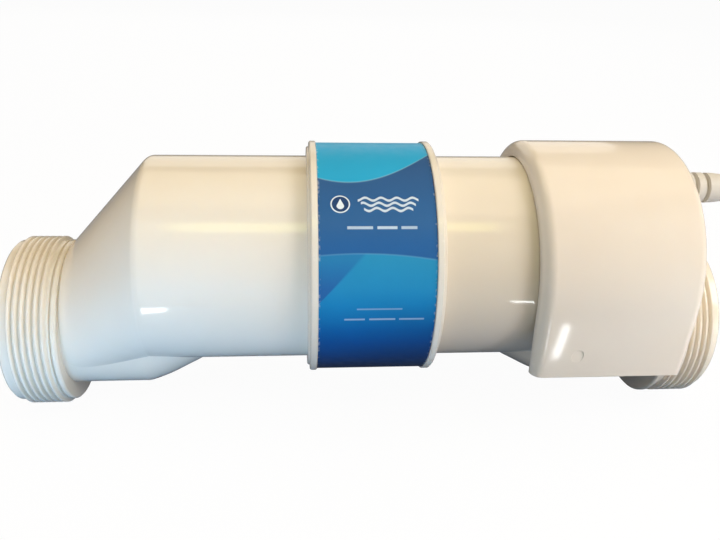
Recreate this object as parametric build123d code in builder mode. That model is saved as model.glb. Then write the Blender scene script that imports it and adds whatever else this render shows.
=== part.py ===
from build123d import *
import os
from math import atan2, cos, degrees, hypot, radians, sin, tan

# Inline salt chlorine generator (electrolytic cell), millimetres.
# +X runs along the cell from the inlet port to the outlet port, +Z is up.
# The two threaded ports hang below the cell body, parallel to it.
# Origin: on the axis of the large tube, half way between the two port faces.
#
# Name endings: _r radius, _t thickness, _x0 and _x1 start and end along X,
# _h height above the sloping outlet shoulder (negative is inside the vessel).

os.makedirs("parts", exist_ok=True)

# ---------------------------------------------------------------- shared dimensions
slip = 0.05               # usual clearance between mating pieces

tube_r = 57.15            # outside radius of the 4 inch body tube
tube_wall = 6.0
tube_bore_r = tube_r - tube_wall
tube_end_x = 121.0        # where the body tube meets the tapered shoulder
half_gap = 1.0            # each tube half stops this far from the middle

shoulder_end_x = 166.5    # where the shoulder reaches the port
shoulder_end_r = 40.5
shoulder_end_z = -34.0
shoulder_round = 6.0

port_z = -40.0            # height of the port axis

cord_r = 4.5
boot_z = 42.2             # height of the cord and its boot
boot_r = 8.5
boot_neck_r = 6.8

# terminal pad on the sloping outlet shoulder, and what stands on it
pad_x = 139.5
pad_z = 36.5
pad_h = 5.0
stud_y = 16.0
stud_r = 3.0
stud_spots = [(-stud_y, 0), (stud_y, 0)]
screw_spots = [(-22, -17.4), (22, -17.4)]

# unit direction down the sloping top of the shoulder
slope_dx = shoulder_end_x - tube_end_x
slope_dz = (shoulder_end_z + shoulder_end_r) - tube_r
slope_len = hypot(slope_dx, slope_dz)
slope_x, slope_z = slope_dx / slope_len, slope_dz / slope_len
up_slope = (-slope_x, 0, -slope_z)
normal_x, normal_z = -slope_z, slope_x      # out of the wall
pad_normal = (normal_x, 0, normal_z)
pad_axis = Axis((0, 0, 0), pad_normal)


def pad_plane(height):
    """Plane parallel to the terminal pad: local x is +Y, local y runs up the slope."""
    origin = (pad_x + normal_x * height, 0, pad_z + normal_z * height)
    return Plane(origin=origin, x_dir=(0, 1, 0), z_dir=pad_normal)


def pad_xz(up, height):
    """X and Z of a point a distance up the slope and a height above it."""
    return (
        pad_x - slope_x * up + normal_x * height,
        pad_z - slope_z * up + normal_z * height,
    )


def save(name, builder):
    """Label a finished piece and write its STEP file."""
    builder.part.label = name
    export_step(builder.part, f"parts/{name}.step")


# ---------------------------------------------------------------- port thread
thread_root_r = 46.2
thread_crest_r = 48.3
thread_pitch = 3.5
thread_turns = 6          # whole turns, so both ends of the ridge lie at the same side
thread_x0 = 172.7
ridge_sunk = 0.8          # the ridge starts this far below the root
ridge_height = thread_crest_r - thread_root_r + ridge_sunk
# half of the ridge section: (half width along X, height), foot first
ridge_flank = [(1.6, 0), (0.75, ridge_height - 0.35), (0.4, ridge_height)]

# right-handed helical ridge, for the union nuts
with BuildPart() as thread_ridge:
    with BuildLine() as thread_path:
        Helix(
            pitch=thread_pitch,
            height=thread_pitch * thread_turns,
            radius=thread_root_r - ridge_sunk,
            center=(thread_x0, 0, 0),
            direction=(1, 0, 0),
        )
    ridge_start = thread_path.line @ 0
    with BuildSketch(Plane(origin=ridge_start, x_dir=(1, 0, 0), z_dir=thread_path.line % 0)):
        with BuildLine():
            Polyline(*[(-x, y) for x, y in ridge_flank], *reversed(ridge_flank), close=True)
        make_face()
    sweep(is_frenet=True)

# turned about the port axis so that the ridge starts and ends at the bottom of the port
ridge_turn = -90 - degrees(atan2(ridge_start.Z, ridge_start.Y))
ridge_place = Location((0, 0, port_z), (ridge_turn, 0, 0))

# ---------------------------------------------------------------- vessel halves
belly_r = 40.5            # round belly under each shoulder, leading to the port
belly_z = -35.4
belly_flat_x = 128.0      # from here the belly rises towards the tube
outlet_belly_shift = 15.0  # the outlet belly starts this much nearer the middle
# (distance towards the middle, rise of the belly axis)
belly_rise = [
    (0.0, 0.0), (3.6, 0.35), (7.4, 1.75), (13.0, 4.2),
    (18.9, 7.3), (26.0, 11.4), (33.0, 15.5), (40.0, 19.5),
]

# water space
bore_end_x = tube_end_x - 1.5
chamber_end_x = shoulder_end_x - 3.0
chamber_end_r = 35.5
chamber_end_z = -36.0
hollow_r = 35.2           # inside the belly
hollow_z = -34.3
hollow_x = 122.5          # from here the hollow rises towards the tube
hollow_end_x = 96.0
hollow_end_z = -14.8
port_bore_r = 31.0
port_bore_x0 = shoulder_end_x - 6.0

# port
port_face_x = 197.8
port_face_chamfer = 0.9
collar_x0 = 167.4
collar_x1 = 170.0
inlet_collar_r = 46.3
outlet_collar_r = 48.3
neck_r = thread_root_r - 1.3        # groove between the collar and the thread
seal_outer_r = 38.4
seal_inner_r = 34.6
seal_depth = 1.6

# terminal pad
pad_width, pad_length, pad_corner_r = 58, 37, 6
pad_centre_up = -8.5
pad_root_h = -12          # the pad is drawn from this far inside
passage_depth = 26
sensor_passage_r = 4.6
stud_seat_r = 5.1
sensor_seat_r = 6.7
seat_depth = 1.9
screw_pilot_r = 1.65
screw_pilot_depth = 7.5

# rings of the shoulder, (x, top z, bottom z): the rim at the tube is rounded in small steps
rim_steps = 5
slope_deg = degrees(atan2(-slope_dz, slope_dx))
rim_x0 = tube_end_x - shoulder_round * tan(radians(slope_deg / 2))
bottom_drop = (tube_r + shoulder_end_z - shoulder_end_r) / slope_dx
shoulder_rings = []
for step in range(rim_steps + 1):
    turn = radians(slope_deg * step / rim_steps)
    ring_x = rim_x0 + shoulder_round * sin(turn)
    ring_top = tube_r - shoulder_round * (1 - cos(turn))
    ring_bottom = -tube_r + max(0, ring_x - tube_end_x) * bottom_drop
    shoulder_rings.append((ring_x, ring_top, ring_bottom))
shoulder_rings.append(
    (shoulder_end_x, shoulder_end_z + shoulder_end_r, shoulder_end_z - shoulder_end_r)
)


def port_outline(collar_r):
    """Half section of collar, neck and thread root, as (x, radius) about the port axis."""
    return [
        (collar_x0, 0),
        (collar_x0, collar_r - 0.8),
        (collar_x0 + 0.8, collar_r),
        (collar_x1 - 0.3, collar_r),
        (collar_x1, collar_r - 0.3),
        (collar_x1 + 0.2, neck_r),
        (collar_x1 + 0.8, neck_r),
        (collar_x1 + 1.1, thread_root_r),
        (port_face_x - port_face_chamfer, thread_root_r),
        (port_face_x, thread_root_r - port_face_chamfer),
        (port_face_x, 0),
    ]


def make_vessel_half(collar_r, belly_x, has_pad):
    """Half vessel, drawn at the outlet end."""
    with BuildPart() as half:
        # body tube and eccentric shoulder, with the rim between them rounded
        with BuildSketch(Plane.YZ.offset(rim_x0)):
            Circle(tube_r)
        extrude(amount=-(rim_x0 - half_gap))
        for x, top, bottom in shoulder_rings:
            with BuildSketch(Plane.YZ.offset(x)):
                with Locations((0, (top + bottom) / 2)):
                    Circle((top - bottom) / 2)
        loft(ruled=True)
        # belly: a cylinder under the shoulder that rises into the tube
        with BuildSketch(Plane.YZ.offset(collar_x0)):
            with Locations((0, belly_z)):
                Circle(belly_r)
        extrude(amount=-(collar_x0 - belly_x))
        for back, rise in belly_rise:
            with BuildSketch(Plane.YZ.offset(belly_x - back)):
                with Locations((0, belly_z + rise)):
                    Circle(belly_r)
        loft()
        # port
        with BuildSketch(Plane.XZ):
            with BuildLine():
                Polyline(*[(x, port_z + r) for x, r in port_outline(collar_r)], close=True)
            make_face()
        revolve(axis=Axis((0, 0, port_z), (1, 0, 0)))
        if has_pad:
            # flat pad on the slope for the terminals and the cord bracket
            with BuildSketch(pad_plane(pad_root_h)):
                with Locations((0, pad_centre_up)):
                    RectangleRounded(pad_width, pad_length, pad_corner_r)
            extrude(amount=pad_h - pad_root_h)
        # tube bore
        with BuildSketch(Plane.YZ):
            Circle(tube_bore_r)
        extrude(amount=bore_end_x, mode=Mode.SUBTRACT)
        # tapered chamber in the shoulder
        with BuildSketch(Plane.YZ.offset(bore_end_x)):
            Circle(tube_bore_r)
        with BuildSketch(Plane.YZ.offset(chamber_end_x)):
            with Locations((0, chamber_end_z)):
                Circle(chamber_end_r)
        loft(mode=Mode.SUBTRACT)
        # hollow of the belly
        with BuildSketch(Plane.YZ.offset(chamber_end_x)):
            with Locations((0, hollow_z)):
                Circle(hollow_r)
        extrude(amount=-(chamber_end_x - hollow_x), mode=Mode.SUBTRACT)
        with BuildSketch(Plane.YZ.offset(hollow_x)):
            with Locations((0, hollow_z)):
                Circle(hollow_r)
        with BuildSketch(Plane.YZ.offset(hollow_end_x)):
            with Locations((0, hollow_end_z)):
                Circle(hollow_r)
        loft(mode=Mode.SUBTRACT)
        # port bore, cut through past the face
        with BuildSketch(Plane.YZ.offset(port_bore_x0)):
            with Locations((0, port_z)):
                Circle(port_bore_r)
        extrude(amount=port_face_x + 2.0 - port_bore_x0, mode=Mode.SUBTRACT)
        # seal groove seat in the port face
        with BuildSketch(Plane.YZ.offset(port_face_x)):
            with Locations((0, port_z)):
                Circle(seal_outer_r)
                Circle(seal_inner_r, mode=Mode.SUBTRACT)
        extrude(amount=-seal_depth, mode=Mode.SUBTRACT)
        if has_pad:
            # stud and sensor passages with seal counterbores, and bracket screw holes
            with BuildSketch(pad_plane(pad_h + 1)):
                with Locations(*stud_spots):
                    Circle(stud_r + 0.1)
                Circle(sensor_passage_r)
            extrude(amount=-passage_depth, mode=Mode.SUBTRACT)
            with BuildSketch(pad_plane(pad_h)):
                with Locations(*stud_spots):
                    Circle(stud_seat_r)
                Circle(sensor_seat_r)
            extrude(amount=-seat_depth, mode=Mode.SUBTRACT)
            with BuildSketch(pad_plane(pad_h)):
                with Locations(*screw_spots):
                    Circle(screw_pilot_r)
            extrude(amount=-screw_pilot_depth, mode=Mode.SUBTRACT)
        with Locations(ridge_place):
            add(thread_ridge.part)
    return half


# the inlet half is turned end for end, so its thread stays right-handed
plain_half = make_vessel_half(inlet_collar_r, belly_flat_x, has_pad=False)
with BuildPart() as inlet_vessel_half:
    add(plain_half.part, rotation=(0, 0, 180))
save("inlet_vessel_half", inlet_vessel_half)

outlet_belly_x = belly_flat_x - outlet_belly_shift
save("outlet_vessel_half", make_vessel_half(outlet_collar_r, outlet_belly_x, has_pad=True))

# ---------------------------------------------------------------- joining sleeve and label
coupling_half = 35.0      # joining sleeve over the middle of the tube
coupling_rim_x0 = 29.85
coupling_rim_x1 = 33.6
coupling_rim_r = 65.4
coupling_step_r = 62.3
coupling_seat_r = 63.85   # the label lies here, between the rims
coupling_bore_r = tube_r + slip
web_half = half_gap - 0.1  # inner web between the two tube halves
web_r = tube_bore_r + 0.5
label_half = 29.7
label_outer_r = 64.45
label_slit_z = -4
label_slit_width = 0.8

# (distance from the middle, radius), from the web round the end to the label seat
coupling_side = [
    (web_half, web_r),
    (web_half, coupling_bore_r),
    (coupling_half, coupling_bore_r),
    (coupling_half, coupling_step_r - 0.5),
    (coupling_half - 0.5, coupling_step_r),
    (coupling_rim_x1 + 0.3, coupling_step_r),
    (coupling_rim_x1, coupling_step_r + 0.3),
    (coupling_rim_x1, coupling_rim_r - 0.7),
    (coupling_rim_x1 - 0.7, coupling_rim_r),
    (coupling_rim_x0 + 0.4, coupling_rim_r),
    (coupling_rim_x0, coupling_rim_r - 0.4),
    (coupling_rim_x0, coupling_seat_r),
]
with BuildPart() as centre_coupling:
    with BuildSketch(Plane.XZ):
        with BuildLine():
            Polyline(*[(-x, r) for x, r in coupling_side], *reversed(coupling_side), close=True)
        make_face()
    revolve(axis=Axis.X)
save("centre_coupling", centre_coupling)

with BuildPart() as label_band:
    with BuildSketch(Plane.YZ.offset(-label_half)):
        Circle(label_outer_r)
        Circle(coupling_seat_r + 0.03, mode=Mode.SUBTRACT)
        with Locations((label_outer_r, label_slit_z)):
            Rectangle(4, label_slit_width, mode=Mode.SUBTRACT)
    extrude(amount=2 * label_half)
save("label_band", label_band)

# ---------------------------------------------------------------- terminal cover
cover_x0 = 84.6           # front wall (nearest the middle of the cell) at axis height
cover_x1 = 170.3          # rear wall, at the port
cover_blank_x0 = cover_x0 - 4       # drawn longer, then cut back to the leaning front
cover_draft = 1.4         # the front wall leans this many degrees
cover_r = 66.5
cover_side_y = 65.77
cover_foot_y = 63.6
cover_foot_z = -43.4
cover_wall = 3.0
cover_front_fillet = 6.2
cover_rear_fillet = 5.0
cover_hollow_x0 = cover_x0 + 4.2
mouth_r = 57.65           # opening that sits over the tube
mouth_drop = 60           # the opening runs on this far down
rib_x = 108
rib_t = 2
rib_r = cover_r - cover_wall + 0.4
rib_foot_y, rib_foot_z = 61.6, -28
arch_r = 49.0             # clears the port collar
arch_drop = 40
boot_slot_r = boot_neck_r + 0.5
mark_x, mark_y, mark_z = 108.3, 66.1, -28.8
mark_radii = (3.2, 4.0)
mark_depth = 1.25


def cover_sides(inset, foot_z):
    """Three points down the -Y side of the cover section, and three up the +Y side."""
    side = [
        (cover_r - inset, 0),
        (cover_side_y - inset, cover_foot_z / 2),
        (cover_foot_y - inset, foot_z),
    ]
    return [(-y, z) for y, z in side], side[::-1]


front_lean = Plane(
    origin=(cover_x0, 0, 0),
    x_dir=(0, 1, 0),
    z_dir=(cos(radians(cover_draft)), 0, sin(radians(cover_draft))),
)


def on_front_rim(edge):
    """True for the edges round the front wall, apart from the foot."""
    centre = edge.center()
    return abs(front_lean.to_local_coords(centre).Z) < 0.01 and centre.Z > cover_foot_z + 1


def on_rear_rim(edge):
    """True for the edges round the rear wall, apart from the foot."""
    centre = edge.center()
    return abs(centre.X - cover_x1) < 0.01 and centre.Z > cover_foot_z + 1


with BuildPart() as terminal_cover:
    with BuildSketch(Plane.YZ.offset(cover_blank_x0)):
        with BuildLine():
            down_side, up_side = cover_sides(0, cover_foot_z)
            CenterArc((0, 0), cover_r, 0, 180)
            ThreePointArc(*down_side)
            Line(down_side[-1], up_side[0])
            ThreePointArc(*up_side)
        make_face()
    extrude(amount=cover_x1 - cover_blank_x0)
    # front wall leans a little, for mould draft
    split(bisect_by=front_lean, keep=Keep.TOP)
    fillet(terminal_cover.edges().filter_by(on_front_rim), radius=cover_front_fillet)
    fillet(terminal_cover.edges().filter_by(on_rear_rim), radius=cover_rear_fillet)
    # hollow inside, open below
    with BuildSketch(Plane.YZ.offset(cover_hollow_x0)):
        with BuildLine():
            down_side, up_side = cover_sides(cover_wall, cover_foot_z - 1)
            CenterArc((0, 0), cover_r - cover_wall, 0, 180)
            ThreePointArc(*down_side)
            Line(down_side[-1], up_side[0])
            ThreePointArc(*up_side)
        make_face()
    extrude(amount=cover_x1 - cover_wall - cover_hollow_x0, mode=Mode.SUBTRACT)
    # mouth that drops over the tube
    with BuildSketch(Plane.YZ.offset(cover_blank_x0)):
        Circle(mouth_r)
        with Locations((0, -mouth_drop / 2)):
            Rectangle(2 * mouth_r, mouth_drop)
    extrude(amount=12, mode=Mode.SUBTRACT)
    # locating rib inside the cover, same mouth
    with BuildSketch(Plane.YZ.offset(rib_x)):
        with BuildLine():
            CenterArc((0, 0), rib_r, 0, 180)
            Polyline((-rib_r, 0), (-rib_foot_y, rib_foot_z), (rib_foot_y, rib_foot_z), (rib_r, 0))
        make_face()
        Circle(mouth_r, mode=Mode.SUBTRACT)
        with Locations((0, -mouth_drop / 2)):
            Rectangle(2 * mouth_r, mouth_drop, mode=Mode.SUBTRACT)
    extrude(amount=rib_t)
    # arch over the port neck, and the slot that passes the cord boot
    with BuildSketch(Plane.YZ.offset(cover_x1 - cover_wall - 1)):
        with Locations((0, port_z)):
            Circle(arch_r)
        with Locations((0, port_z - arch_drop / 2)):
            Rectangle(2 * arch_r, arch_drop)
        with Locations((0, boot_z)):
            Circle(boot_slot_r)
        with Locations((0, boot_z / 2)):
            Rectangle(2 * boot_slot_r, boot_z)
    extrude(amount=cover_wall + 2, mode=Mode.SUBTRACT)
    # shallow oval gate marks low on both sides
    for side in (-1, 1):
        mark_origin = (mark_x, side * mark_y, mark_z)
        with BuildSketch(Plane(origin=mark_origin, x_dir=(1, 0, 0), z_dir=(0, side, 0))):
            Ellipse(*mark_radii)
        extrude(amount=-mark_depth, mode=Mode.SUBTRACT)
save("terminal_cover", terminal_cover)

# ---------------------------------------------------------------- electrode stack
plate_t = 1.0
plate_pitch = 5.6
plate_half_len = 100.0
plate_half_height = 32.0
plate_ys = [plate_pitch * i for i in range(-6, 7)]
anode_tab = (14, 20)      # centre z and height of the tab at the outlet end
cathode_tab = (-25, 12)

comb_x0 = 86.0
comb_t = 8.0
comb_r = 50.9
comb_slot_extra = 0.3     # slots are this much larger than the plates
window_y = 36.6
window_z = 27.5

rod_r = 2.5
rod_y = 41.5
rod_z = 12.0
rod_spots = [(-rod_y, -rod_z), (-rod_y, rod_z), (rod_y, -rod_z), (rod_y, rod_z)]
rod_nut_flat_r = 4.0
rod_nut_t = 4.0


def make_plates(ys, tab=None):
    """Plates at the given y, each with an optional tab (centre z, height)."""
    with BuildPart() as plates:
        for y in ys:
            with BuildSketch(Plane.XZ.offset(-y - plate_t / 2)):
                Rectangle(2 * plate_half_len, 2 * plate_half_height)
                if tab:
                    with Locations((plate_half_len + 1.5, tab[0])):
                        Rectangle(5, tab[1])
            extrude(amount=plate_t)
    return plates


save("anode_plate", make_plates([0], anode_tab))
save("cathode_plates", make_plates([plate_ys[0], plate_ys[-1]], cathode_tab))
save("bipolar_plates", make_plates([y for y in plate_ys[1:-1] if y != 0]))


def make_comb(end):
    """Slotted frame that holds the plates apart; end is -1 at the inlet, 1 at the outlet."""
    with BuildPart() as comb:
        with BuildSketch(Plane.YZ.offset(end * comb_x0)):
            Circle(comb_r)
            Rectangle(2 * window_y, 2 * window_z, mode=Mode.SUBTRACT)
            with Locations([(y, 0) for y in plate_ys]):
                Rectangle(
                    plate_t + comb_slot_extra,
                    2 * plate_half_height + comb_slot_extra,
                    mode=Mode.SUBTRACT,
                )
            with Locations(*rod_spots):
                Circle(rod_r + slip, mode=Mode.SUBTRACT)
        extrude(amount=end * comb_t)
    return comb


save("inlet_plate_comb", make_comb(-1))
save("outlet_plate_comb", make_comb(1))

with BuildPart() as tie_rods:
    with BuildSketch(Plane.YZ.offset(-plate_half_len)):
        with Locations(*rod_spots):
            Circle(rod_r)
    extrude(amount=2 * plate_half_len)
save("tie_rods", tie_rods)

with BuildPart() as tie_rod_nuts:
    for end in (-1, 1):
        with BuildSketch(Plane.YZ.offset(end * (comb_x0 + comb_t + slip))):
            with Locations(*rod_spots):
                RegularPolygon(rod_nut_flat_r, 6, major_radius=False)
                Circle(rod_r + slip, mode=Mode.SUBTRACT)
        extrude(amount=end * rod_nut_t)
save("tie_rod_nuts", tie_rod_nuts)

# ---------------------------------------------------------------- bus bars
# bent titanium bars from the plates to the terminal studs
bar_x = plate_half_len + 5.0
bar_t = 2.0
bar_leg_h = -20           # middle of the leg that lies along the slope
bar_bend_z = 30.0
leg_top = pad_xz((bar_bend_z - pad_xz(0, bar_leg_h)[1]) / (-slope_z), bar_leg_h)
leg_end = pad_xz(-7, bar_leg_h)
anode_bar_y, anode_bar_width = 3, 25        # +Y edge, and width towards -Y
cathode_bar_y, cathode_bar_width = 22, 12


def bar_path(foot_z):
    """Centre line of a bar in X and Z: up, across to the slope, then down along it."""
    return [(bar_x, foot_z), (bar_x, leg_top[1]), leg_top, leg_end]


with BuildPart() as anode_bus_bar:
    with BuildSketch(Plane.XZ.offset(-anode_bar_y)):
        with BuildLine():
            Polyline(*bar_path(foot_z=2))
        trace(line_width=bar_t)
    extrude(amount=anode_bar_width)
save("anode_bus_bar", anode_bus_bar)

with BuildPart() as cathode_bus_bar:
    with BuildSketch(Plane.XZ.offset(-cathode_bar_y)):
        with BuildLine():
            Polyline(*bar_path(foot_z=-30))
        trace(line_width=bar_t)
    extrude(amount=cathode_bar_width)
    # cross bar over the tabs of both cathode plates
    with BuildSketch(Plane.YZ.offset(bar_x - bar_t / 2)):
        with Locations((0, cathode_tab[0])):
            Rectangle(2 * plate_ys[-1] + plate_t, cathode_tab[1])
    extrude(amount=bar_t)
save("cathode_bus_bar", cathode_bus_bar)

# ---------------------------------------------------------------- terminals
# stacked on the pad: washer, lock nut, ring terminal, lead nut
stack_gap = 0.02
washer_t = 1.2
washer_r = 6.4
stud_nut_t = 5.0
stud_nut_flat_r = 5.0
ring_t = 1.0
ring_r = 5.6
washer_h = pad_h + stack_gap
lock_nut_h = washer_h + washer_t + stack_gap
ring_h = lock_nut_h + stud_nut_t + stack_gap
lead_nut_h = ring_h + ring_t + stack_gap
stud_top_h = lead_nut_h + 7.5

stud_head_h = bar_leg_h + bar_t / 2 + stack_gap
stud_head_r = 5.5
stud_head_t = 2
stud_shank_h = -18
loose_hole_r = stud_r + 0.15        # holes in the washers and ring terminals

ring_neck_up = 6.5        # distances up the slope from the stud
ring_neck_size = (4.2, 5)
barrel_up = 8.5
barrel_h = ring_h + 1.6   # axis of the crimp barrel
barrel_r = 2.3
barrel_bore_r = 1.45
barrel_length = 6.0


def make_stud(side):
    """Headed terminal stud; side is the sign of its y."""
    with BuildPart() as stud:
        with BuildSketch(pad_plane(stud_head_h)):
            with Locations((side * stud_y, 0)):
                Circle(stud_head_r)
        extrude(amount=stud_head_t)
        with BuildSketch(pad_plane(stud_shank_h)):
            with Locations((side * stud_y, 0)):
                Circle(stud_r)
        extrude(amount=stud_top_h - stud_shank_h)
        chamfer(stud.edges().sort_by(pad_axis)[-1], length=0.6)
    return stud


def make_o_rings(ys, outer_r, inner_r):
    """Seal rings in the pad counterbores at the given y."""
    with BuildPart() as rings:
        for y in ys:
            with BuildSketch(pad_plane(pad_h - 1.0)):
                with Locations((y, 0)):
                    Circle(outer_r)
                    Circle(inner_r, mode=Mode.SUBTRACT)
            extrude(amount=0.85, both=True)
        fillet(rings.edges(), radius=0.8)
    return rings


def make_stud_nuts(height):
    """Hexagonal nuts on both studs, resting at a height."""
    with BuildPart() as nuts:
        with BuildSketch(pad_plane(height)):
            with Locations(*stud_spots):
                RegularPolygon(stud_nut_flat_r, 6, major_radius=False)
                Circle(stud_r + slip, mode=Mode.SUBTRACT)
        extrude(amount=stud_nut_t)
    return nuts


save("anode_terminal_stud", make_stud(-1))
save("cathode_terminal_stud", make_stud(1))
save("stud_o_rings", make_o_rings([-stud_y, stud_y], stud_r + 1.95, stud_r + slip))

with BuildPart() as stud_washers:
    with BuildSketch(pad_plane(washer_h)):
        with Locations(*stud_spots):
            Circle(washer_r)
            Circle(loose_hole_r, mode=Mode.SUBTRACT)
    extrude(amount=washer_t)
save("stud_washers", stud_washers)

save("stud_lock_nuts", make_stud_nuts(lock_nut_h))

barrel_x, barrel_z = pad_xz(barrel_up, barrel_h)
with BuildPart() as ring_terminals:
    with BuildSketch(pad_plane(ring_h)):
        with Locations(*stud_spots):
            Circle(ring_r)
        with Locations((-stud_y, ring_neck_up), (stud_y, ring_neck_up)):
            Rectangle(*ring_neck_size)
        with Locations(*stud_spots):
            Circle(loose_hole_r, mode=Mode.SUBTRACT)
    extrude(amount=ring_t)
    # crimp barrels
    with BuildSketch(Plane(origin=(barrel_x, 0, barrel_z), x_dir=(0, 1, 0), z_dir=up_slope)):
        with Locations(*stud_spots):
            Circle(barrel_r)
            Circle(barrel_bore_r, mode=Mode.SUBTRACT)
    extrude(amount=barrel_length)
save("ring_terminals", ring_terminals)

save("lead_nuts", make_stud_nuts(lead_nut_h))

# ---------------------------------------------------------------- temperature sensor
sensor_tip_h = -13
sensor_r = 4.4
sensor_hex_flat_r = 7.6
sensor_hex_t = 4.5
sensor_cap_h = pad_h + 4
sensor_cap_r = 4.2
sensor_cap_t = 3.5

with BuildPart() as temperature_sensor:
    with BuildSketch(pad_plane(sensor_tip_h)):
        Circle(sensor_r)
    extrude(amount=pad_h + 2 - sensor_tip_h)
    fillet(temperature_sensor.edges().sort_by(pad_axis)[0], radius=3.0)
    with BuildSketch(pad_plane(pad_h + slip)):
        RegularPolygon(sensor_hex_flat_r, 6, major_radius=False)
    extrude(amount=sensor_hex_t)
    with BuildSketch(pad_plane(sensor_cap_h)):
        Circle(sensor_cap_r)
    extrude(amount=sensor_cap_t)
save("temperature_sensor", temperature_sensor)

save("sensor_o_ring", make_o_rings([0], 6.6, sensor_r + slip))

# ---------------------------------------------------------------- cord bracket
bracket_x0 = 159.6
bracket_t = 3.0
bracket_x1 = bracket_x0 + bracket_t
bracket_half_width = 17
bracket_bottom_z = 22.2
bracket_top_z = 55
bracket_corner_r = 6
foot_gap = 0.03
foot_h = pad_h + foot_gap
foot_top_h = foot_h + bracket_t
foot_up = -18.4           # centre of the foot, along the slope
foot_size = (54, 11.8)
joint_up = -22.0          # where the foot runs into the upright
joint_top_z = 26.5
joint_bottom_z = 19.5
screw_hole_r = 1.9
screw_tip_h = pad_h - 6.8
screw_r = 1.6
screw_head_r = 3.3
screw_head_h = foot_top_h + foot_gap
screw_head_t = 2.4
screw_cross = (4.2, 0.9)  # length and width of each arm of the cross recess
screw_cross_depth = 1.5

with BuildPart() as cord_bracket:
    with BuildSketch(Plane.YZ.offset(bracket_x0)):
        with BuildLine():
            Polyline(
                (-bracket_half_width, bracket_bottom_z),
                (-bracket_half_width, bracket_top_z),
                (bracket_half_width, bracket_top_z),
                (bracket_half_width, bracket_bottom_z),
                close=True,
            )
        make_face()
    extrude(amount=bracket_t)
    top_corners = cord_bracket.edges().filter_by(Axis.X).group_by(Axis.Z)[-1]
    fillet(top_corners, radius=bracket_corner_r)
    # foot that lies on the sloping pad
    with BuildSketch(pad_plane(foot_h)):
        with Locations((0, foot_up)):
            Rectangle(*foot_size)
    extrude(amount=bracket_t)
    # joint between the foot and the upright
    with BuildSketch(Plane.XZ.offset(-bracket_half_width)):
        with BuildLine():
            Polyline(
                pad_xz(joint_up, foot_h),
                pad_xz(joint_up, foot_top_h),
                (bracket_x0 + 0.5, joint_top_z),
                (bracket_x1, joint_top_z),
                (bracket_x1, joint_bottom_z),
                close=True,
            )
        make_face()
    extrude(amount=2 * bracket_half_width)
    # holes for the boot neck and the screws
    with BuildSketch(Plane.YZ.offset(bracket_x0 - 1)):
        with Locations((0, boot_z)):
            Circle(boot_neck_r + slip)
    extrude(amount=bracket_t + 2, mode=Mode.SUBTRACT)
    with BuildSketch(pad_plane(pad_h - 1)):
        with Locations(*screw_spots):
            Circle(screw_hole_r)
    extrude(amount=6, mode=Mode.SUBTRACT)
save("cord_bracket", cord_bracket)

with BuildPart() as bracket_screws:
    with BuildSketch(pad_plane(screw_tip_h)):
        with Locations(*screw_spots):
            Circle(screw_r)
    extrude(amount=pad_h + 3.5 - screw_tip_h)
    with BuildSketch(pad_plane(screw_head_h)):
        with Locations(*screw_spots):
            Circle(screw_head_r)
    extrude(amount=screw_head_t)
    with BuildSketch(pad_plane(screw_head_h + screw_head_t)):
        with Locations(*screw_spots):
            Rectangle(*screw_cross)
            Rectangle(*reversed(screw_cross))
    extrude(amount=-screw_cross_depth, mode=Mode.SUBTRACT)
save("bracket_screws", bracket_screws)

# ---------------------------------------------------------------- cord boot and cord
boot_x0 = 157.0
boot_x1 = 222.0
boot_flange_x = cover_x1 + 0.4
boot_groove_r = boot_r - 2.4
# (x, radius) about the boot axis, from the end under the cover outwards
boot_outline = [
    (boot_x0, cord_r + slip),
    (boot_x0, 9.6),
    (157.5, 10.0),
    (bracket_x0 - slip, 10.0),
    (bracket_x0 - slip, boot_neck_r),
    (boot_flange_x, boot_neck_r),
    (boot_flange_x, 10.2),
    (cover_x1 + 0.8, 10.6),
    (cover_x1 + 2.4, 10.6),
    (cover_x1 + 3.4, boot_r + 1.1),
    (183.9, boot_r + 0.4),
    (184.2, boot_groove_r),
    (186.2, boot_groove_r),
    (186.5, boot_r + 0.3),
    (190.6, boot_r + 0.2),
    (190.9, boot_groove_r),
    (192.9, boot_groove_r),
    (193.2, boot_r + 0.1),
    (198.0, boot_r - 0.1),
    (202.0, boot_r - 0.6),
    (221.0, cord_r + 1.2),
    (boot_x1, cord_r + 0.7),
    (boot_x1, cord_r + slip),
]
with BuildPart() as cord_boot:
    with BuildSketch(Plane.XZ):
        with BuildLine():
            Polyline(*[(x, boot_z + r) for x, r in boot_outline], close=True)
        make_face()
    revolve(axis=Axis((0, 0, boot_z), (1, 0, 0)))
save("cord_boot", cord_boot)

cord_start = (156.9, 0, boot_z)
cord_bend = (224.0, 0, boot_z)
plug_end = (242.0, -112.0, -77.0)   # where the cord meets the plug
plug_dir = (-0.6, -0.8, 0.0)
with BuildPart() as power_cord:
    with BuildLine():
        Line(cord_start, cord_bend)
        Spline(
            cord_bend,
            (254.0, -26.0, 33.0),
            (264.0, -66.0, -12.0),
            (257.0, -96.0, -60.0),
            plug_end,
            tangents=[(1, 0, 0), plug_dir],
            tangent_scalars=[1.0, 1.2],
        )
    with BuildSketch(Plane(origin=cord_start, x_dir=(0, 1, 0), z_dir=(1, 0, 0))):
        Circle(cord_r)
    sweep()
save("power_cord", power_cord)

# ---------------------------------------------------------------- plug
# distances past the end of the cord
plug_boot_start = slip
plug_boot_end = plug_boot_start + 18
plug_body_start = plug_boot_end + slip
plug_body_length = 32
plug_body_end = plug_body_start + plug_body_length
shroud_depth = 16
groove_start = 22.4
groove_pitch = 3
groove_count = 4


def plug_plane(along):
    """Plane across the plug, a given distance past the end of the cord; local y is +Z."""
    return Plane(
        origin=tuple(end + step * along for end, step in zip(plug_end, plug_dir)),
        x_dir=(0.8, -0.6, 0),
        z_dir=plug_dir,
    )


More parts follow.
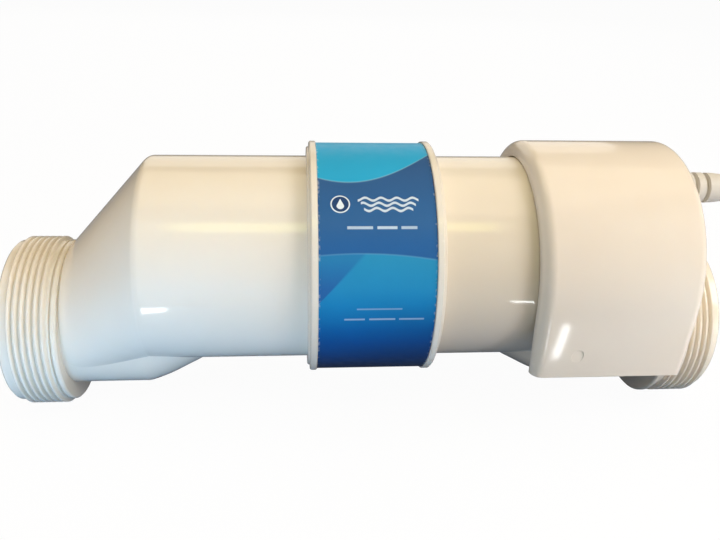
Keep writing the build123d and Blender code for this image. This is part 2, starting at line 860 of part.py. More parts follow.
with BuildPart() as plug_boot:
    with BuildSketch(plug_plane(plug_boot_start)):
        Circle(5.6)
    with BuildSketch(plug_plane(plug_boot_end)):
        RectangleRounded(16, 13, 4)
    loft()
save("plug_boot", plug_boot)

with BuildPart() as plug_body:
    with BuildSketch(plug_plane(plug_body_start)):
        RectangleRounded(25, 18, 3)
    extrude(amount=plug_body_length)
    cord_end_face = plug_body.faces().sort_by(Axis((0, 0, 0), plug_dir))[0]
    chamfer(cord_end_face.edges(), length=1.2)
    # open shroud round the contacts
    with BuildSketch(plug_plane(plug_body_end)):
        RectangleRounded(20, 13, 1.6)
    extrude(amount=-shroud_depth, mode=Mode.SUBTRACT)
    # finger grooves on both broad sides
    for side in (-1, 1):
        for k in range(groove_count):
            with BuildSketch(plug_plane(groove_start + groove_pitch * k)):
                with Locations((0, side * 9.0)):
                    Rectangle(17, 1.4)
            extrude(amount=1.3, mode=Mode.SUBTRACT)
save("plug_body", plug_body)

with BuildPart() as plug_contacts:
    with BuildSketch(plug_plane(plug_body_end - shroud_depth + slip)):
        with Locations((-6, 0), (6, 0)):
            Circle(1.9)
        with Locations((0, -3.4), (0, 3.4)):
            Circle(1.0)
    extrude(amount=12)
save("plug_contacts", plug_contacts)

# ---------------------------------------------------------------- leads under the cover
lead_r = 1.4
wire_r = 0.6
crimp_x, crimp_z = pad_xz(11.0, barrel_h)
lead_x, lead_z = pad_xz(15.0, barrel_h)     # end of the straight piece in the barrel
for side, lead_name in ((-1, "positive_lead"), (1, "negative_lead")):
    with BuildPart() as lead:
        with BuildLine() as lead_path:
            Line((crimp_x, side * stud_y, crimp_z), (lead_x, side * stud_y, lead_z))
            Spline(
                (lead_x, side * stud_y, lead_z),
                (138.6, side * 14.0, 59.0),
                (146.5, side * 9.0, 57.5),
                (152.4, side * 5.2, boot_z + 5.1),
                (156.8, side * 2.7, boot_z - 0.8),
                tangents=[up_slope, (1, 0, 0)],
                tangent_scalars=[0.7, 0.7],
            )
        with BuildSketch(Plane(origin=lead_path.line @ 0, z_dir=lead_path.line % 0)):
            Circle(lead_r)
        sweep()
    save(lead_name, lead)

sensor_top_x, sensor_top_z = pad_xz(0, sensor_cap_h + sensor_cap_t + slip)
with BuildPart() as sensor_leads:
    for side in (-1, 1):
        with BuildLine() as wire_path:
            Spline(
                (sensor_top_x, side * 1.0, sensor_top_z),
                (152.4, side * 1.0, boot_z + 2.7),
                (156.85, side * 0.9, boot_z + 2.7),
                tangents=[pad_normal, (1, 0, 0)],
                tangent_scalars=[0.4, 0.6],
            )
        with BuildSketch(Plane(origin=wire_path.line @ 0, z_dir=wire_path.line % 0)):
            Circle(wire_r)
        sweep()
save("sensor_leads", sensor_leads)
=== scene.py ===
# A salt-water chlorinator cell, lying along X with its inlet end at -X and its outlet end at +X.
# The front, which the camera sees, faces -Y. The CAD pieces are already shaped and placed: this
# script gives them materials, prints the label and sets up the floor, lights, world and camera.
import math

import bmesh
import bpy
from mathutils import Matrix, Vector


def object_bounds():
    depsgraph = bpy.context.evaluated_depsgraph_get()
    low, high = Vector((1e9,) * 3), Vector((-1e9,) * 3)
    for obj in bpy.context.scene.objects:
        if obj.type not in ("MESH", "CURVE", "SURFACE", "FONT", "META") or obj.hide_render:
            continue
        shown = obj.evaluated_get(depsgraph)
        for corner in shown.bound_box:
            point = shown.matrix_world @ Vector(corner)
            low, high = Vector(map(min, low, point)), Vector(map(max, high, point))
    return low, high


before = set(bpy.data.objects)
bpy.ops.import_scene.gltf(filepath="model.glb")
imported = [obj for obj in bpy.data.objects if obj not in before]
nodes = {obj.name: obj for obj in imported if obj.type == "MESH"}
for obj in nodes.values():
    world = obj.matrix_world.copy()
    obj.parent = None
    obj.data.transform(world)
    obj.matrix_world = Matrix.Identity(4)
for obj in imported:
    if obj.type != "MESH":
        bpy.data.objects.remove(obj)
cad_lo, cad_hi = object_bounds()
scene = bpy.context.scene


# ------------------------------------------------------------------ shader helper
class Shader:
    """Builds the node tree of one material or world.

    An input may be given a plain value or another node's output.
    """

    def __init__(self, owner, output, coordinates):
        owner.use_nodes = True
        self.owner = owner
        self.tree = owner.node_tree
        self.tree.nodes.clear()
        self.output = self.node(output)
        self.coords = self.node("ShaderNodeTexCoord").outputs[coordinates]

    def feed(self, socket, value):
        if isinstance(value, bpy.types.NodeSocket):
            self.tree.links.new(value, socket)
        elif socket.type == "RGBA":
            socket.default_value = (*value, 1)
        else:
            socket.default_value = value

    def node(self, kind, inputs=None, **settings):
        made = self.tree.nodes.new(kind)
        for name, value in settings.items():
            setattr(made, name, value)
        for key, value in (inputs or {}).items():
            if value is not None:
                self.feed(made.inputs[key], value)
        return made

    def surface(self, shader):
        self.feed(self.output.inputs[0], shader.outputs[0])

    def principled(self, **inputs):
        named = {name.replace("_", " "): value for name, value in inputs.items()}
        self.surface(self.node("ShaderNodeBsdfPrincipled", named))

    def camera_switch(self, unseen, seen):
        """Shows one shader to the camera and the other to every other ray."""
        is_camera = self.node("ShaderNodeLightPath").outputs["Is Camera Ray"]
        inputs = {0: is_camera, 1: unseen.outputs[0], 2: seen.outputs[0]}
        self.surface(self.node("ShaderNodeMixShader", inputs))

    def stretched(self, scale, rotation=(0, 0, 0)):
        inputs = {0: self.coords, "Scale": scale, "Rotation": rotation}
        return self.node("ShaderNodeMapping", inputs).outputs[0]

    def noise(self, scale, detail=2.0, rough=0.5, vector=None):
        inputs = {"Scale": scale, "Detail": detail, "Roughness": rough}
        inputs["Vector"] = vector or self.coords
        return self.node("ShaderNodeTexNoise", inputs).outputs["Fac"]

    def ramp(self, value, stops):
        """Colours a value by (position, colour) stops."""
        made = self.node("ShaderNodeValToRGB", {0: value})
        elements = made.color_ramp.elements
        while len(elements) < len(stops):
            elements.new(0.5)
        for element, (position, colour) in zip(elements, stops):
            element.position = position
            element.color = (*colour, 1)
        return made.outputs[0]

    def math(self, operation, *values):
        inputs = dict(enumerate(values))
        return self.node("ShaderNodeMath", inputs, operation=operation).outputs[0]

    def mix(self, amount, first, second):
        inputs = {0: amount, 6: first, 7: second}
        return self.node("ShaderNodeMix", inputs, data_type="RGBA").outputs[2]

    def remap(self, value, span, to=(0.0, 1.0), smooth=False):
        """Carries the span onto another range, clamped at its ends."""
        inputs = dict(enumerate((value, *span, *to)))
        kind = "SMOOTHSTEP" if smooth else "LINEAR"
        made = self.node("ShaderNodeMapRange", inputs, clamp=True, interpolation_type=kind)
        return made.outputs[0]

    def soft_edges(self, radius):
        """Rounds the light along hard moulded edges."""
        return self.node("ShaderNodeBevel", {"Radius": radius}, samples=4).outputs[0]

    def bump(self, height, strength, distance, normal=None):
        inputs = {"Strength": strength, "Distance": distance, "Height": height, "Normal": normal}
        return self.node("ShaderNodeBump", inputs).outputs[0]


def new_material(name):
    return Shader(bpy.data.materials.new(name), "ShaderNodeOutputMaterial", "Object")


def paint(material, *parts):
    for part in parts:
        slots = nodes[part].data.materials
        slots.clear()
        slots.append(material)


# ------------------------------------------------------------------ material families
SPECK_TINT = (0.82, 0.76, 0.66)  # specks, as a share of the darker colour


def gloss_white(name, base, dark, rough, scuff=1.0, coat=0.25):
    """Moulded glossy plastic: slow colour drift, flow waviness, fine scuffs in the gloss."""
    mat = new_material(name)
    drift = mat.noise(scale=14.0, detail=3.0, rough=0.55)
    mottle = mat.noise(scale=95.0, detail=4.0, rough=0.6)
    colour = mat.mix(mat.remap(drift, span=(0.35, 0.7)), base, dark)
    specks = mat.remap(mat.noise(scale=900.0), span=(0.70, 0.78), to=(0.0, 0.10))
    speck_colour = tuple(part * tint for part, tint in zip(dark, SPECK_TINT))
    colour = mat.mix(specks, colour, speck_colour)

    # handling scuffs: stretched noise makes short fine streaks, kept to some areas
    along = mat.stretched(scale=(90, 700, 700), rotation=(0.3, 0.2, 0.1))
    across = mat.stretched(scale=(650, 120, 420), rotation=(0.9, 0.1, 0.7))
    streaks = mat.math(
        "MAXIMUM",
        mat.remap(mat.noise(scale=1.0, detail=5.0, rough=0.65, vector=along), span=(0.60, 0.74)),
        mat.remap(mat.noise(scale=1.0, detail=4.0, rough=0.6, vector=across), span=(0.62, 0.76)),
    )
    scuffs = mat.math("MULTIPLY", streaks, mat.remap(mat.noise(scale=20.0), span=(0.42, 0.62)))
    gloss = mat.remap(mottle, span=(0.3, 0.7), to=(rough * 0.82, rough * 1.2))

    # broad waves, then orange peel, then the sunken scuffs
    normal = mat.bump(mat.noise(scale=24.0, rough=0.4), strength=0.30, distance=0.0009,
                      normal=mat.soft_edges(radius=0.0005))
    normal = mat.bump(mat.noise(scale=260.0), strength=0.05, distance=0.0004, normal=normal)
    normal = mat.bump(mat.math("MULTIPLY", scuffs, -1.0), strength=0.05 * scuff,
                      distance=0.0002, normal=normal)
    mat.principled(
        Base_Color=colour,
        Roughness=mat.math("ADD", gloss, mat.math("MULTIPLY", scuffs, 0.10 * scuff)),
        Normal=normal, IOR=1.50, Coat_Weight=coat, Coat_Roughness=0.06,
        Subsurface_Weight=0.08, Subsurface_Scale=0.004, Subsurface_Radius=(1.0, 0.75, 0.5),
    )
    return mat.owner


def metal(name, base, dark, rough, aniso, streaks=(30, 900, 900)):
    """Metal with fine lines, drawn out along the axis of the lowest streak scale."""
    mat = new_material(name)
    lines = mat.noise(scale=1.0, detail=5.0, rough=0.7, vector=mat.stretched(scale=streaks))
    patches = mat.noise(scale=60.0, detail=3.0)
    tone = mat.math("ADD", mat.math("MULTIPLY", lines, 0.6), mat.math("MULTIPLY", patches, 0.4))
    mat.principled(
        Base_Color=mat.mix(mat.remap(tone, span=(0.35, 0.65)), base, dark),
        Roughness=mat.remap(lines, span=(0.3, 0.7), to=(rough * 0.8, rough * 1.35)),
        Normal=mat.bump(lines, strength=0.12, distance=0.0002),
        Metallic=1.0, Anisotropic=aniso,
    )
    return mat.owner


def soft_plastic(name, base, dark, rough, grain=900.0, grain_depth=0.10, drift=30.0):
    """Matt plastic or rubber; grain and drift are the scales of its fine and slow noise."""
    mat = new_material(name)
    slow = mat.noise(scale=drift, detail=3.0, rough=0.55)
    fine = mat.noise(scale=grain)
    normal = mat.bump(slow, strength=0.08, distance=0.0006, normal=mat.soft_edges(radius=0.0004))
    mat.principled(
        Base_Color=mat.mix(mat.remap(slow, span=(0.35, 0.68)), base, dark),
        Roughness=mat.remap(fine, span=(0.3, 0.7), to=(rough * 0.85, rough * 1.2)),
        Normal=mat.bump(fine, strength=grain_depth, distance=0.00025, normal=normal),
        IOR=1.47,
    )
    return mat.owner


# ------------------------------------------------------------------ materials and their parts
paint(gloss_white("vessel_pvc", base=(0.86, 0.79, 0.68), dark=(0.83, 0.75, 0.63), rough=0.12),
      "inlet_vessel_half", "outlet_vessel_half")
paint(gloss_white("coupling_pvc", base=(0.82, 0.76, 0.66), dark=(0.78, 0.71, 0.60), rough=0.22),
      "centre_coupling")
paint(gloss_white("cover_abs", base=(0.87, 0.78, 0.67), dark=(0.84, 0.74, 0.63), rough=0.13,
                  scuff=1.5, coat=0.20),
      "terminal_cover")
paint(soft_plastic("oxide_coated_titanium", base=(0.055, 0.052, 0.055),
                   dark=(0.025, 0.024, 0.028), rough=0.62,
                   grain=1400.0, grain_depth=0.22, drift=60.0),
      "anode_plate", "cathode_plates", "bipolar_plates")
paint(metal("bare_titanium", base=(0.55, 0.53, 0.51), dark=(0.42, 0.40, 0.38), rough=0.34,
            aniso=0.3),
      "anode_bus_bar", "cathode_bus_bar", "anode_terminal_stud", "cathode_terminal_stud",
      "temperature_sensor")
paint(metal("stainless_steel", base=(0.68, 0.68, 0.69), dark=(0.52, 0.52, 0.53), rough=0.22,
            aniso=0.4, streaks=(400, 400, 900)),
      "stud_washers", "stud_lock_nuts", "lead_nuts", "bracket_screws")
paint(metal("tinned_copper", base=(0.74, 0.72, 0.68), dark=(0.58, 0.55, 0.50), rough=0.28,
            aniso=0.1, streaks=(300, 700, 300)),
      "ring_terminals")
paint(metal("plated_brass", base=(0.80, 0.62, 0.30), dark=(0.62, 0.46, 0.20), rough=0.24,
            aniso=0.1, streaks=(700, 300, 300)),
      "plug_contacts")
paint(soft_plastic("comb_polypropylene", base=(0.70, 0.70, 0.67), dark=(0.62, 0.62, 0.58),
                   rough=0.42),
      "inlet_plate_comb", "outlet_plate_comb", "tie_rods", "tie_rod_nuts")
paint(soft_plastic("epdm_seal", base=(0.020, 0.020, 0.021), dark=(0.012, 0.012, 0.012),
                   rough=0.55),
      "stud_o_rings", "sensor_o_ring")
paint(soft_plastic("soft_pvc_boot", base=(0.685, 0.650, 0.585), dark=(0.625, 0.590, 0.525),
                   rough=0.46, grain=700.0, grain_depth=0.14),
      "cord_boot")
paint(soft_plastic("cord_jacket", base=(0.76, 0.75, 0.72), dark=(0.69, 0.68, 0.64),
                   rough=0.46, grain=1200.0, grain_depth=0.18),
      "power_cord")
paint(soft_plastic("red_insulation", base=(0.55, 0.025, 0.018), dark=(0.42, 0.018, 0.012),
                   rough=0.35),
      "positive_lead")
paint(soft_plastic("black_insulation", base=(0.018, 0.018, 0.019), dark=(0.010, 0.010, 0.010),
                   rough=0.36),
      "negative_lead")
paint(soft_plastic("yellow_insulation", base=(0.72, 0.55, 0.05), dark=(0.60, 0.44, 0.04),
                   rough=0.35),
      "sensor_leads")
paint(soft_plastic("bracket_nylon", base=(0.66, 0.65, 0.61), dark=(0.58, 0.57, 0.53),
                   rough=0.48),
      "cord_bracket")
paint(soft_plastic("plug_nylon", base=(0.024, 0.024, 0.026), dark=(0.014, 0.014, 0.016),
                   rough=0.48, grain=1600.0, grain_depth=0.3),
      "plug_boot", "plug_body")

# ------------------------------------------------------------------ label print
# Millimetres: u runs along the cell, v is the arc length round it, 0 at the front, + upwards.
LABEL_RADIUS = 64.45
CURVE_UNIT = 30.0  # u is divided by this in the curves
# curves v(u), as coefficients from the constant to the cubic term
SKY_EDGE = (71.4, 10.25, 10.98, 0.0)
LOW_EDGE = (30.0, -1.2, -2.0, 0.0)
SWOOSH_EDGE = (37.3, 33.0, 0.0, 0.0)
# print tones: v, colour
SKY_TONES = [
    (60.0, (0.012, 0.40, 0.68)), (92.0, (0.010, 0.40, 0.72)),
    (104.0, (0.010, 0.40, 0.74)), (150.0, (0.008, 0.34, 0.66)),
]
MID_TONES = [
    (-5.0, (0.018, 0.115, 0.33)), (30.0, (0.021, 0.120, 0.33)),
    (48.0, (0.024, 0.120, 0.31)), (90.0, (0.015, 0.088, 0.26)),
]
LOW_TONES = [
    (-62.0, (0.002, 0.010, 0.045)), (-48.0, (0.002, 0.020, 0.075)),
    (-34.0, (0.0015, 0.050, 0.20)), (-20.0, (0.0012, 0.085, 0.32)),
    (-12.0, (0.002, 0.120, 0.38)), (4.0, (0.009, 0.225, 0.50)),
    (14.0, (0.018, 0.268, 0.51)), (32.0, (0.026, 0.284, 0.48)),
]
LOW_SHADE = (0.004, 0.02, 0.07)
SWOOSH = (0.02, 0.12, 0.36)
SKY_HAIRLINE = (0.35, 0.62, 0.75)
LOW_HAIRLINE = (0.25, 0.5, 0.7)

# ripple lines beside the emblem, counted from the top
RIPPLE_ROWS = 3
RIPPLE_TOP, RIPPLE_PITCH = 58.6, 2.9
RIPPLE_LENGTH, RIPPLE_HEIGHT = 8.0, 0.85  # one wave's length and amplitude
RIPPLE_PHASE = 0.9  # radians added per row
RIPPLE_MIDDLE = 5.6
RIPPLE_ENDS = (15.2, 15.5)  # the top line fades out between these distances from the middle
RIPPLE_SHORTER = 1.5  # taken off each end, per row
RIPPLE_COLOUR = (0.70, 0.80, 0.88)

# plain bars in place of words: middle u, middle v, half length, half height, strength
BARS = [
    (-9.0, 43.2, 6.4, 0.75, 0.75), (4.6, 43.2, 5.0, 0.75, 0.85), (15.6, 43.2, 4.0, 0.75, 0.7),
    (1.0, 1.4, 11.5, 0.42, 0.30),
    (-11.5, -4.6, 5.2, 0.5, 0.42), (2.6, -4.6, 6.6, 0.5, 0.48), (17.6, -4.6, 6.4, 0.5, 0.42),
]
BAR_COLOUR = (0.62, 0.76, 0.86)

EMBLEM_U, EMBLEM_V, EMBLEM_RADIUS = -18.6, 55.8, 4.9
DISC_COLOUR = (0.012, 0.05, 0.16)
RING_COLOUR = (0.75, 0.84, 0.90)
DROP_COLOUR = (0.80, 0.88, 0.93)
DROP_RADIUS, DROP_HEIGHT = 1.9, 3.9  # height from the round part's centre to the point
DROP_CENTRE = -0.9  # v of that centre, from the emblem's
DROP_SOFT, JOIN_SOFT = 0.1, 0.05

WORN_COLOUR = (0.72, 0.76, 0.78)


def above(mat, height, soft=0.25):
    """1 where the height is positive, 0 where negative."""
    return mat.remap(height, span=(-soft, soft), smooth=True)


def within(mat, distance, reach, soft):
    """1 nearer than the reach, 0 beyond it."""
    return mat.remap(distance, span=(reach - soft, reach + soft), to=(1.0, 0.0))


def off_centre(mat, value, centre):
    return mat.math("ABSOLUTE", mat.math("SUBTRACT", value, centre))


def radius_of(mat, across, up):
    squares = [mat.math("MULTIPLY", side, side) for side in (across, up)]
    return mat.math("SQRT", mat.math("ADD", *squares))


def curve(mat, u, coefficients):
    scaled = mat.math("MULTIPLY", u, 1.0 / CURVE_UNIT)
    height = coefficients[-1]
    for coefficient in reversed(coefficients[:-1]):
        height = mat.math("MULTIPLY_ADD", scaled, height, coefficient)
    return height


def tones(mat, v, stops):
    start, end = stops[0][0], stops[-1][0]
    placed = [((stop - start) / (end - start), colour) for stop, colour in stops]
    return mat.ramp(mat.remap(v, span=(start, end)), placed)


def print_swells(mat, u, v):
    """Teal sky over two blue swells, with a dark swoosh and light hairlines."""
    over_sky = mat.math("SUBTRACT", v, curve(mat, u, SKY_EDGE))
    under_low = mat.math("SUBTRACT", curve(mat, u, LOW_EDGE), v)
    # the lower swell darkens towards the outlet end
    outlet_side = mat.remap(u, span=(-24.0, 28.0))
    shade = mat.math("MULTIPLY", outlet_side, mat.remap(v, span=(10.0, -30.0), to=(0.0, 0.42)))
    low = mat.mix(shade, tones(mat, v, LOW_TONES), LOW_SHADE)
    colour = mat.mix(above(mat, over_sky), tones(mat, v, MID_TONES), tones(mat, v, SKY_TONES))
    colour = mat.mix(above(mat, under_low, soft=0.5), colour, low)

    # the swoosh climbs towards +u, its edge softening, and fades into the swell
    over_swoosh = mat.math("SUBTRACT", v, curve(mat, u, SWOOSH_EDGE))
    softness = mat.remap(v, span=(5.0, 26.0), to=(0.4, 3.5))
    swoosh = above(mat, mat.math("DIVIDE", over_swoosh, softness), soft=0.5)
    swoosh = mat.math("MULTIPLY", swoosh, above(mat, under_low))
    fade = mat.remap(v, span=(12.0, 27.0), to=(0.95, 0.45))
    colour = mat.mix(mat.math("MULTIPLY", swoosh, fade), colour, SWOOSH)

    for height, reach, strength, hairline in (
        (over_sky, 0.8, 0.35, SKY_HAIRLINE),
        (under_low, 0.7, 0.22, LOW_HAIRLINE),
    ):
        line = mat.remap(mat.math("ABSOLUTE", height), span=(0.0, reach), to=(1.0, 0.0))
        colour = mat.mix(mat.math("MULTIPLY", line, strength), colour, hairline)
    return colour


def print_ripples(mat, u, v, colour):
    for row in range(RIPPLE_ROWS):
        turn = mat.math("MULTIPLY_ADD", u, 2 * math.pi / RIPPLE_LENGTH, RIPPLE_PHASE * row)
        wave = mat.math("MULTIPLY", mat.math("SINE", turn), RIPPLE_HEIGHT)
        height = mat.math("SUBTRACT", v, RIPPLE_TOP - RIPPLE_PITCH * row)
        line = mat.remap(off_centre(mat, height, wave), span=(0.55, 0.78), to=(1.0, 0.0))
        ends = [end - RIPPLE_SHORTER * row for end in RIPPLE_ENDS]
        kept = mat.remap(off_centre(mat, u, RIPPLE_MIDDLE), span=ends, to=(1.0, 0.0))
        line = mat.math("MULTIPLY", line, kept)
        colour = mat.mix(mat.math("MULTIPLY", line, 0.9), colour, RIPPLE_COLOUR)
    return colour


def print_bars(mat, u, v, colour):
    for middle_u, middle_v, half_length, half_height, strength in BARS:
        along = within(mat, off_centre(mat, u, middle_u), half_length, soft=0.12)
        up = within(mat, off_centre(mat, v, middle_v), half_height, soft=0.12)
        bar = mat.math("MULTIPLY", along, up)
        colour = mat.mix(mat.math("MULTIPLY", bar, strength), colour, BAR_COLOUR)
    return colour


def print_emblem(mat, u, v, colour):
    """A water drop on a ringed disc."""
    across = mat.math("SUBTRACT", u, EMBLEM_U)
    up = mat.math("SUBTRACT", v, EMBLEM_V)
    radius = radius_of(mat, across, up)
    disc = within(mat, radius, EMBLEM_RADIUS, soft=0.12)
    ring = mat.remap(radius, span=(EMBLEM_RADIUS - 0.75, EMBLEM_RADIUS - 0.55))
    colour = mat.mix(disc, colour, DISC_COLOUR)
    colour = mat.mix(mat.math("MULTIPLY", ring, disc), colour, RING_COLOUR)

    # the drop: round below, narrowing to a point above
    rise = mat.math("SUBTRACT", up, DROP_CENTRE)
    width = mat.remap(rise, span=(0.0, DROP_HEIGHT), to=(DROP_RADIUS, 0.0))
    sides = [mat.math(side, width, DROP_SOFT) for side in ("SUBTRACT", "ADD")]
    join = (-JOIN_SOFT, JOIN_SOFT)
    upper = mat.math("MULTIPLY",
                     mat.remap(mat.math("ABSOLUTE", across), span=sides, to=(1.0, 0.0)),
                     mat.remap(rise, span=join))
    tip = mat.remap(rise, span=(DROP_HEIGHT - DROP_SOFT, DROP_HEIGHT), to=(1.0, 0.0))
    upper = mat.math("MULTIPLY", upper, tip)
    lower = mat.math("MULTIPLY",
                     within(mat, radius_of(mat, across, rise), DROP_RADIUS, soft=DROP_SOFT),
                     mat.remap(rise, span=join, to=(1.0, 0.0)))
    return mat.mix(mat.math("MAXIMUM", upper, lower), colour, DROP_COLOUR)


def print_wear(mat, u, colour):
    """Wear at the film's two ends and a faint uneven tone."""
    ends = mat.remap(mat.math("ABSOLUTE", u), span=(28.6, 29.7))
    patches = mat.noise(scale=420.0, detail=4.0, rough=0.6)
    wear = mat.math("MULTIPLY", ends, mat.remap(patches, span=(0.52, 0.62), to=(0.0, 0.55)))
    colour = mat.mix(wear, colour, WORN_COLOUR)
    uneven = mat.noise(scale=34.0, detail=3.0, rough=0.55)
    return mat.mix(mat.remap(uneven, span=(0.3, 0.7), to=(0.0, 0.07)), colour, (0.0, 0.0, 0.0))


def label_print():
    mat = new_material("label_print")
    x, y, z = (
        mat.node("ShaderNodeSeparateXYZ", {0: mat.coords}).outputs[axis] for axis in range(3)
    )
    u = mat.math("MULTIPLY", x, 1000.0)
    angle = mat.math("ARCTAN2", z, mat.math("MULTIPLY", y, -1.0))
    v = mat.math("MULTIPLY", angle, LABEL_RADIUS)
    colour = print_swells(mat, u, v)
    colour = print_ripples(mat, u, v, colour)
    colour = print_bars(mat, u, v, colour)
    colour = print_emblem(mat, u, v, colour)
    sheen = mat.noise(scale=160.0, detail=3.0, rough=0.6)
    mat.principled(
        Base_Color=print_wear(mat, u, colour),
        Roughness=mat.remap(sheen, span=(0.3, 0.7), to=(0.34, 0.46)),
        Normal=mat.bump(mat.noise(scale=38.0), strength=0.18, distance=0.0006),
        IOR=1.40, Specular_IOR_Level=0.30,
    )
    return mat.owner


paint(label_print(), "label_band")

# ------------------------------------------------------------------ floor
FLOOR_CORNERS = ((-6, -4), (6, -4), (6, 8), (-6, 8))
FLOOR_GAP = 0.0006  # below the lowest CAD point
FLOOR_GLOW = 0.96  # share of plain white in what the camera sees
FLOOR_BOUNCE = (0.20, 0.26, 0.36)  # what the floor throws back at the cell


def floor_paper():
    mat = new_material("floor_paper")
    tone = mat.remap(mat.noise(scale=6.0, detail=3.0), span=(0.3, 0.7))
    colour = mat.mix(tone, (0.92, 0.92, 0.92), (0.89, 0.89, 0.89))
    paper = mat.node("ShaderNodeBsdfDiffuse", {"Color": colour})
    glow = mat.node("ShaderNodeEmission", {"Color": (1.0, 1.0, 1.0)})
    inputs = {0: FLOOR_GLOW, 1: paper.outputs[0], 2: glow.outputs[0]}
    seen = mat.node("ShaderNodeMixShader", inputs)
    bounce = mat.node("ShaderNodeBsdfDiffuse", {"Color": FLOOR_BOUNCE})
    mat.camera_switch(unseen=bounce, seen=seen)
    return mat.owner


def build_floor():
    sheet = bmesh.new()
    for x, y in FLOOR_CORNERS:
        sheet.verts.new((x, y, cad_lo.z - FLOOR_GAP))
    sheet.faces.new(sheet.verts)
    mesh = bpy.data.meshes.new("studio_floor")
    sheet.to_mesh(mesh)
    sheet.free()
    made = bpy.data.objects.new("studio_floor", mesh)
    scene.collection.objects.link(made)
    mesh.materials.append(floor_paper())
    return made


floor = build_floor()

# ------------------------------------------------------------------ lights
inlet, outlet, cover = (
    nodes[name] for name in ("inlet_vessel_half", "outlet_vessel_half", "terminal_cover")
)
left_parts = [inlet, nodes["centre_coupling"], nodes["label_band"], floor]

STRIP = ((0.03, -0.6, 0.9), (0.03, -0.05, 0.03), 0.62, 0.19)  # place, aim, width, height
# name, place, aim, width, height, brightness, colour
LIGHTS = [
    ("strip", *STRIP, 2.75, (1.0, 1.0, 0.255)),
    ("top_soft", (0.1, 0.25, 1.3), (0, 0, 0), 1.6, 1.2, 0.924, (1.0, 0.837, 0.597)),
    ("left_near", (-0.25, -0.52, -0.04), (-0.14, 0, -0.05), 0.34, 0.09, 12.2, (0.4, 0.68, 1.0)),
    ("left_side", (-0.50, -0.34, 0.05), (-0.17, 0, 0.0), 0.34, 0.07, 7.6, (1.0, 0.8, 0.7)),
    ("left_low", (-0.17, -0.15, -0.084), (-0.15, 0, -0.03), 0.22, 0.08, 2.2, (0.1, 0.5, 1.0)),
    ("cover_fill", (-0.42, -0.42, 0.0), (0.12, 0, -0.03), 0.34, 0.12, 6.6, (0.56, 0.78, 1.0)),
    ("right_near", (0.5, -0.52, 0.04), (0.13, 0, -0.03), 0.34, 0.18, 3.6, (1.0, 0.8, 0.73)),
    ("port_fill", (0.27, -0.20, -0.04), (0.19, 0, -0.045), 0.06, 0.06, 10.5, (0.84, 0.93, 1.0)),
    ("right_high", (1.0, -0.45, 0.75), (0.1, 0, 0), 0.9, 0.7, 5.576, (1.0, 0.976, 0.984)),
    ("back_fill", (0.0, 1.35, 0.50), (0, 0, -0.01), 1.5, 0.9, 0.8, (1.0, 0.97, 0.93)),
    ("left_high", (-1.0, -0.35, 0.75), (-0.1, 0, 0), 0.9, 0.7, 0.4, (1.0, 0.82, 0.7)),
]
# lamps that light only these parts
LIT_PARTS = {
    "left_near": left_parts, "left_side": left_parts, "left_low": [inlet], "cover_fill": [cover],
}
NO_REFLECTION = (*LIT_PARTS, "port_fill")
SPLIT_FOR_COVER = ("strip", "right_near", "right_high")
# name, place, aim, width, height, brightness, the part that shows it
GLINTS = [
    ("glint_left", (-0.140, -0.165, -0.080), (-0.114, -0.057, -0.004), 0.021, 0.009, 17.0, inlet),
    ("glint_tube", (0.134, -0.205, -0.082), (0.079, -0.057, -0.001), 0.024, 0.006, 24.0, outlet),
    ("glint_cover_a", (0.0885, -0.111, -0.054), (0.0885, -0.066, -0.054),
     0.005, 0.036, 12.0, cover),
    ("glint_cover_b", (0.1185, -0.111, -0.057), (0.1185, -0.066, -0.057),
     0.0055, 0.036, 12.0, cover),
]
GLINT_COLOUR = (0.93, 0.97, 1.0)


def soft_box(name, place, aim, width, height, brightness, colour):
    """Lamp of a given surface brightness, so its reflection and its light stay in proportion."""
    light = bpy.data.lights.new(name, "AREA")
    light.shape = "RECTANGLE"
    light.size, light.size_y = width, height
    light.energy = brightness * math.pi * width * height
    light.color = colour
    lamp = bpy.data.objects.new(name, light)
    scene.collection.objects.link(lamp)
    lamp.location = place
    lamp.rotation_euler = (Vector(aim) - Vector(place)).to_track_quat("-Z", "Y").to_euler()
    lamp.visible_camera = False
    return lamp


def screen(lamp, parts, state="INCLUDE"):
    """Makes a lamp light only these parts (INCLUDE) or everything but them (EXCLUDE)."""
    group = bpy.data.collections.new(lamp.name + "_flag")
    for part in parts:
        group.objects.link(part)
    for entry in group.collection_objects:
        entry.light_linking.link_state = state
    lamp.light_linking.receiver_collection = group


def reflection(parts, *settings):
    """Adds a lamp seen only as a reflection in the gloss of these parts."""
    lamp = soft_box(*settings)
    lamp.visible_diffuse = False
    lamp.visible_transmission = False
    screen(lamp, parts)


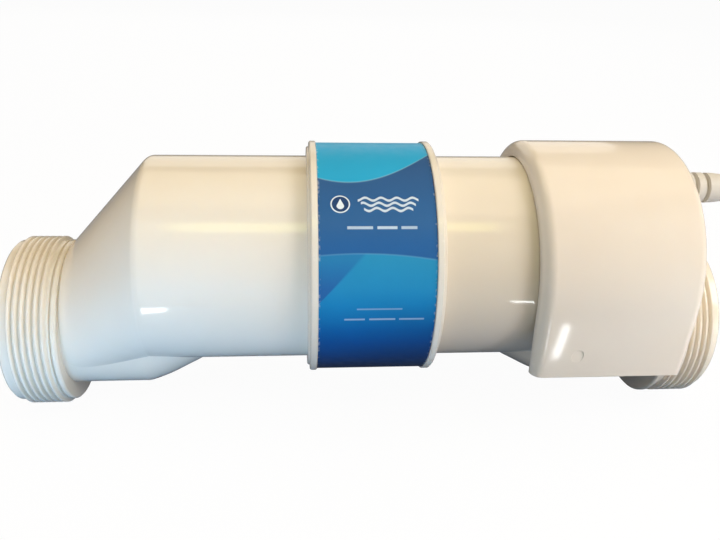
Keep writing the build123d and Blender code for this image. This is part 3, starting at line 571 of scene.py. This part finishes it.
for name, *settings in LIGHTS:
    lamp = soft_box(name, *settings)
    lamp.visible_glossy = name not in NO_REFLECTION
    if name in LIT_PARTS:
        screen(lamp, LIT_PARTS[name])
    if name in SPLIT_FOR_COVER:
        # the satin cover takes this light without a mirror image of the lamp
        screen(lamp, [cover], "EXCLUDE")
        unmirrored = soft_box(name + "_cover", *settings)
        unmirrored.visible_glossy = False
        screen(unmirrored, [cover])

for *settings, part in GLINTS:
    reflection([part], *settings, GLINT_COLOUR)
reflection([inlet, outlet], "strip_shine", *STRIP, 1.6, (1.0, 0.97, 0.75))

# ------------------------------------------------------------------ world
WORLD_LOW = (0.15, 0.16, 0.18)
WORLD_HIGH = (1.0, 0.86, 0.69)
WORLD_LEVEL = 0.36


def build_world():
    """White to the camera; to the cell, a dim warm sky over a grey ground."""
    sky = Shader(bpy.data.worlds.new("studio"), "ShaderNodeOutputWorld", "Generated")
    scene.world = sky.owner
    backdrop = sky.node("ShaderNodeBackground", {0: (1, 1, 1), 1: 1.0})
    height = sky.node("ShaderNodeSeparateXYZ", {0: sky.coords}).outputs[2]
    stops = [(0.0, WORLD_LOW), (1.0, WORLD_HIGH)]
    colour = sky.ramp(sky.remap(height, span=(-0.6, 0.9)), stops)
    around = sky.node("ShaderNodeBackground", {0: colour, 1: WORLD_LEVEL})
    sky.camera_switch(unseen=around, seen=backdrop)


build_world()

# ------------------------------------------------------------------ camera
CAMERA_PLACE = Vector((-0.0393, -0.3851, 0.1892))
CAMERA_RIGHT = Vector((0.99661, -0.07617, 0.03098))
CAMERA_FORWARD = Vector((0.08189, 0.88561, -0.45715))


def build_camera():
    lens = bpy.data.cameras.new("camera")
    lens.sensor_width = 36.0
    lens.lens = 37.06
    lens.clip_start, lens.clip_end = 0.01, 50
    camera = bpy.data.objects.new("camera", lens)
    scene.collection.objects.link(camera)
    # square the right axis to the view before taking the up axis from both
    right = CAMERA_RIGHT - CAMERA_FORWARD * CAMERA_RIGHT.dot(CAMERA_FORWARD)
    right.normalize()
    forward = CAMERA_FORWARD.normalized()
    pose = Matrix((right, right.cross(forward), -forward)).transposed().to_4x4()
    pose.translation = CAMERA_PLACE
    camera.matrix_world = pose
    scene.camera = camera


build_camera()
scene.view_settings.view_transform = "Standard"
scene.view_settings.look = "None"
